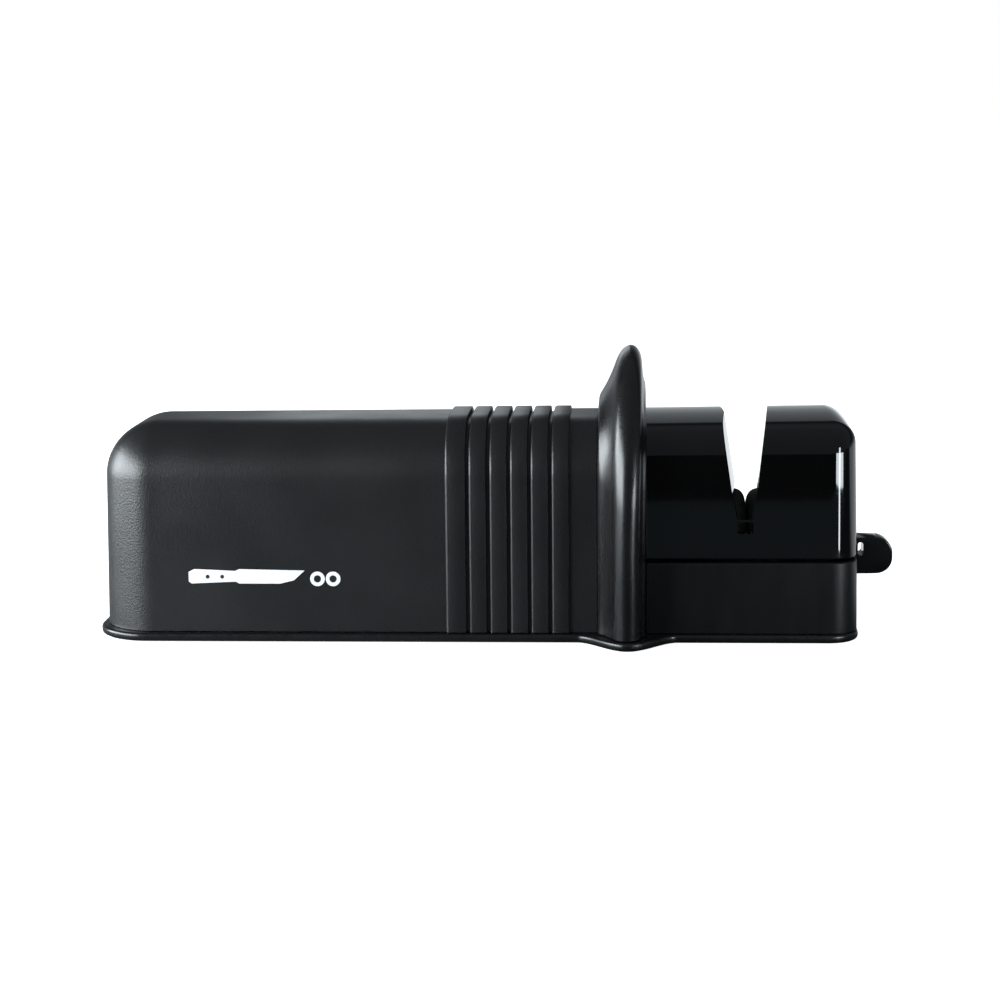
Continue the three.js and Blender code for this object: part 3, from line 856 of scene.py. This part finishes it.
# ------------------------------------------------------------------ print
class SHARPENER_OT_print(bpy.types.Operator):
    """Print a plain pictogram, a knife over two wheels, on the grip"""
    bl_idname = "sharpener.print"
    bl_label = "Pictogram"

    def execute(self, context):
        parts = [self.knife(), self.rivet(-54.9), self.rivet(-57.9)]
        mark = parts[0]
        for hole in parts[1:]:
            combine(mark, hole)
        for x in (-35.4, -32.2):
            ring = rod_at("ring", (x * MM, 0, 12.9 * MM), 1.5 * MM, 1.0 * MM, "Y", 48)
            combine(ring, rod_at("eye", (x * MM, 0, 12.9 * MM), 0.75 * MM, 3 * MM, "Y", 32))
            combine(mark, ring, "UNION")
        combine(mark, block_at("slab", -70 * MM, -20 * MM, -0.02 * MM, 0.02 * MM, 5 * MM, 25 * MM), "INTERSECT")
        # lay it against the drafted wall
        lean = Matrix.Rotation(-0.0224, 4, "X")
        foot = Vector((0, -18.1 * MM, 2.1 * MM))
        for v in mark.data.vertices:
            v.co = lean @ (Vector((v.co.x, v.co.y, v.co.z - 2.1 * MM))) + foot
            v.co.y -= 0.012 * MM
        make_outward(mark)
        smooth(mark, 30)
        deliver(mark, None, "textured_shell", FINISHES["ink"])
        return {"FINISHED"}

    def knife(self):
        outline = [(-61.8, 12.3), (-61.2, 11.9), (-52.2, 12.3), (-51.4, 11.9), (-43.0, 11.9), (-40.2, 12.6),
                   (-38.0, 14.6), (-51.4, 14.9), (-52.2, 14.5), (-60.6, 14.9), (-61.8, 14.3)]
        obj = ring_of("mark", [(x * MM, -0.5 * MM, z * MM) for x, z in outline])
        enter(obj)
        bpy.ops.mesh.select_all(action="SELECT")
        bpy.ops.mesh.edge_face_add()
        bpy.ops.mesh.extrude_region_move(TRANSFORM_OT_translate={"value": (0, 1.0 * MM, 0)})
        make_outward(obj)
        return obj

    def rivet(self, x):
        return rod_at("rivet", (x * MM, 0, 13.3 * MM), 0.42 * MM, 3 * MM, "Y", 24)


# ------------------------------------------------------------------ fittings that keep their CAD shape
class SHARPENER_OT_fittings(bpy.types.Operator):
    """Give the axle, clips, washers, bushes, screws, cradle and pads their finishes"""
    bl_idname = "sharpener.fittings"
    bl_label = "Fittings"

    def execute(self, context):
        wanted = {"wheel_axle": "steel", "axle_clip_": "steel", "spacer_": "steel", "base_screw_": "steel",
                  "cradle_screw_": "steel", "wheel_bush_": "inner", "wheel_cradle": "inner", "sole_pad_": "rubber"}
        for name, obj in frame["nodes"].items():
            for start, finish in wanted.items():
                if name.startswith(start):
                    obj.data.materials.clear()
                    obj.data.materials.append(FINISHES[finish])
        return {"FINISHED"}


# ------------------------------------------------------------------ studio
class SHARPENER_OT_studio(bpy.types.Operator):
    """Set the camera, the white floor, the softboxes and the room"""
    bl_idname = "sharpener.studio"
    bl_label = "Studio"

    def execute(self, context):
        s = context.scene.sharpener_studio
        context.scene.view_settings.view_transform = "Standard"
        self.camera(context, s)
        self.floor()
        self.room(context, s)
        self.softbox("left_softbox", (-0.56, -0.17, 0.10), (0.80, 0.42), s.side_power)
        self.softbox("crest_light", (-0.060, 0.40, 0.17), (0.13, 0.20), s.crest_power)

        self.softbox("right_strip", (0.152, -0.105, 0.030), (0.013, 0.066), s.strip_power)
        self.softbox("right_patch", (0.152, -0.105, 0.024), (0.070, 0.014), s.strip_power * 0.85)
        fill = self.softbox("front_fill", (0, -0.5, 0.6), (0.8, 0.5), s.fill_power)
        fill.visible_glossy = False
        return {"FINISHED"}

    def camera(self, context, s):
        a, e = s.azimuth, s.elevation
        back = Vector((math.sin(a) * math.cos(e), -math.cos(a) * math.cos(e), math.sin(e)))
        right = Vector((math.cos(a), math.sin(a), 0))
        up = back.cross(right)
        c, d = math.cos(s.roll), math.sin(s.roll)
        right, up = right * c + up * d, up * c - right * d
        place = Vector((0.85 * MM, 0, 26 * MM)) + back * s.distance
        data = bpy.data.cameras.new("camera")
        data.lens, data.sensor_width = s.lens, 36
        data.clip_start, data.clip_end = 0.01, 20
        camera = bpy.data.objects.new("camera", data)
        context.scene.collection.objects.link(camera)
        camera.matrix_world = Matrix((
            (right.x, up.x, back.x, place.x), (right.y, up.y, back.y, place.y),
            (right.z, up.z, back.z, place.z), (0, 0, 0, 1)))
        context.scene.camera = camera

    def floor(self):
        floor = sheet_at("floor", -6, 6, -3, 12, -0.2 * MM)
        r = Recipe("pale_floor")
        cloud = r.noise(6, 2, 0.5)
        colour = r.tint(cloud, (0.86, 0.86, 0.86), (0.90, 0.90, 0.90))
        floor.data.materials.append(r.finish(colour, None, None, Roughness=0.9, Emission_Strength=0.93,
                                             Emission_Color=(1, 1, 1, 1)))
        floor.visible_glossy = False
        floor.visible_diffuse = False
        # what the part mirrors of the table: dim in front, darker still before the head, bright behind
        card = sheet_at("table_card", -0.8, 0.8, -0.255, 3, -0.4 * MM)
        t = Recipe("table_card")
        split = t.add("ShaderNodeSeparateXYZ")
        t.join(t.place, split.inputs[0])
        front = t.tint(t.between(split.outputs["Y"], 0.0, 1.0, -0.255, 0.0), (0.10, 0.135, 0.147),
                       (0.22, 0.255, 0.27), 0.25, 1.0)
        under_head = t.add("ShaderNodeMix", data_type="RGBA")
        t.join(t.between(split.outputs["X"], 0.0, 1.0, -0.020, 0.030), under_head.inputs["Factor"])
        t.join(front, under_head.inputs["A"])
        t.join(t.tint(t.between(split.outputs["Y"], 0.0, 1.0, -0.13, -0.10), (0.085, 0.115, 0.125),
                      (0.025, 0.034, 0.037), 0.0, 1.0), under_head.inputs["B"])
        behind = t.tint(t.between(split.outputs["X"], 0.0, 1.0, 0.045, 0.055), (0.30, 0.32, 0.33),
                        (0.95, 1.0, 1.03), 0.0, 1.0)
        mix = t.add("ShaderNodeMix", data_type="RGBA")
        t.join(t.between(split.outputs["Y"], 0.0, 1.0, -0.01, 0.03), mix.inputs["Factor"])
        t.join(under_head.outputs["Result"], mix.inputs["A"])
        t.join(behind, mix.inputs["B"])
        t.join(mix.outputs["Result"], t.shader.inputs["Emission Color"])
        card.data.materials.append(t.finish(None, None, None, Base_Color=(0.02, 0.02, 0.02, 1), Roughness=0.9,
                                            Emission_Strength=1.0))
        card.visible_camera = False

    def softbox(self, name, place, size, power):
        data = bpy.data.lights.new(name, "AREA")
        data.shape = "RECTANGLE"
        data.size, data.size_y = size
        data.energy = power
        data.color = (0.93, 1.0, 1.05)
        light = bpy.data.objects.new(name, data)
        bpy.context.scene.collection.objects.link(light)
        light.location = place
        aim = Vector((0, 0, 0.03)) - Vector(place)
        light.rotation_euler = aim.to_track_quat("-Z", "Y").to_euler()
        return light

    def room(self, context, s):
        world = bpy.data.worlds.new("room")
        context.scene.world = world
        world.use_nodes = True
        tree = world.node_tree
        tree.nodes.clear()

        def add(kind, **values):
            node = tree.nodes.new(kind)
            for key, value in values.items():
                setattr(node, key, value)
            return node

        direction = add("ShaderNodeTexCoord")
        split = add("ShaderNodeSeparateXYZ")
        tree.links.new(direction.outputs["Generated"], split.inputs[0])
        flip = add("ShaderNodeMath", operation="MULTIPLY")
        flip.inputs[1].default_value = -1.0
        tree.links.new(split.outputs["Y"], flip.inputs[0])
        angle = add("ShaderNodeMath", operation="ARCTAN2")
        tree.links.new(split.outputs["Z"], angle.inputs[0])
        tree.links.new(flip.outputs[0], angle.inputs[1])
        share = add("ShaderNodeMapRange")
        share.inputs["From Min"].default_value = -math.pi
        share.inputs["From Max"].default_value = math.pi
        tree.links.new(angle.outputs[0], share.inputs["Value"])
        ramp = add("ShaderNodeValToRGB")
        # degrees up from the front horizon, over the top and down to the back one, and the level there
        room, sweep = s.room_level, s.sweep_level
        steps = [(-180, sweep * 0.6), (-120, 0.10), (-60, 0.05), (-5.2, 0.02), (-4.2, room * 0.8), (20, room * 0.85),
                 (80, room), (120, room * 0.85), (132, room * 0.5), (140, 0.035), (150, 0.04), (156, sweep * 0.1),
                 (161, sweep * 0.14), (165.5, sweep * 0.17), (170, sweep * 0.235), (174.5, sweep * 0.35),
                 (179, sweep * 0.55), (180, sweep)]
        marks = ramp.color_ramp.elements
        while len(marks) > 1:
            marks.remove(marks[-1])
        for i, (degrees, level) in enumerate(steps):
            mark = marks[0] if i == 0 else marks.new((degrees + 180) / 360)
            mark.position = (degrees + 180) / 360
            mark.color = (level * 0.93, level, level * 1.05, 1)
        tree.links.new(share.outputs["Result"], ramp.inputs["Fac"])
        studio = add("ShaderNodeBackground")
        tree.links.new(ramp.outputs["Color"], studio.inputs["Color"])
        white = add("ShaderNodeBackground")
        white.inputs["Strength"].default_value = 1.0
        white.inputs["Color"].default_value = (1, 1, 1, 1)
        ray = add("ShaderNodeLightPath")
        mix = add("ShaderNodeMixShader")
        tree.links.new(ray.outputs["Is Camera Ray"], mix.inputs["Fac"])
        tree.links.new(studio.outputs[0], mix.inputs[1])
        tree.links.new(white.outputs[0], mix.inputs[2])
        out = add("ShaderNodeOutputWorld")
        tree.links.new(mix.outputs[0], out.inputs["Surface"])


# ------------------------------------------------------------------ panel and running
STEPS = (
    SHARPENER_OT_studio, SHARPENER_OT_finishes, SHARPENER_OT_grip, SHARPENER_OT_guard, SHARPENER_OT_cover,
    SHARPENER_OT_housing, SHARPENER_OT_lug, SHARPENER_OT_base, SHARPENER_OT_wheels, SHARPENER_OT_print,
    SHARPENER_OT_fittings)
GROUPS = (
    ("sharpener_shape", SharpenerShape), ("sharpener_finish", SharpenerFinish), ("sharpener_studio", SharpenerStudio))


class SHARPENER_PT_panel(bpy.types.Panel):
    """Lists the sharpener's sizes, colours and pieces"""
    bl_idname = "SHARPENER_PT_panel"
    bl_label = "Blade sharpener"
    bl_space_type = "VIEW_3D"
    bl_region_type = "UI"
    bl_category = "Sharpener"

    def draw(self, context):
        for attribute, group in GROUPS:
            box = self.layout.box()
            for key in group.__annotations__:
                box.prop(getattr(context.scene, attribute), key)
        for step in STEPS:
            self.layout.operator(step.bl_idname)


def register():
    for attribute, group in GROUPS:
        bpy.utils.register_class(group)
        setattr(bpy.types.Scene, attribute, PointerProperty(type=group))
    for step in STEPS + (SHARPENER_PT_panel,):
        bpy.utils.register_class(step)


def unregister():
    for step in reversed(STEPS + (SHARPENER_PT_panel,)):
        bpy.utils.unregister_class(step)
    for attribute, group in reversed(GROUPS):
        delattr(bpy.types.Scene, attribute)
        bpy.utils.unregister_class(group)


def main():
    register()
    ops = bpy.ops.sharpener
    ops.studio()
    ops.finishes()
    ops.grip()
    ops.guard()
    ops.cover()
    ops.housing()
    ops.lug()
    ops.base()
    ops.wheels()
    ops.print()
    ops.fittings()


if __name__ == "__main__":
    main()
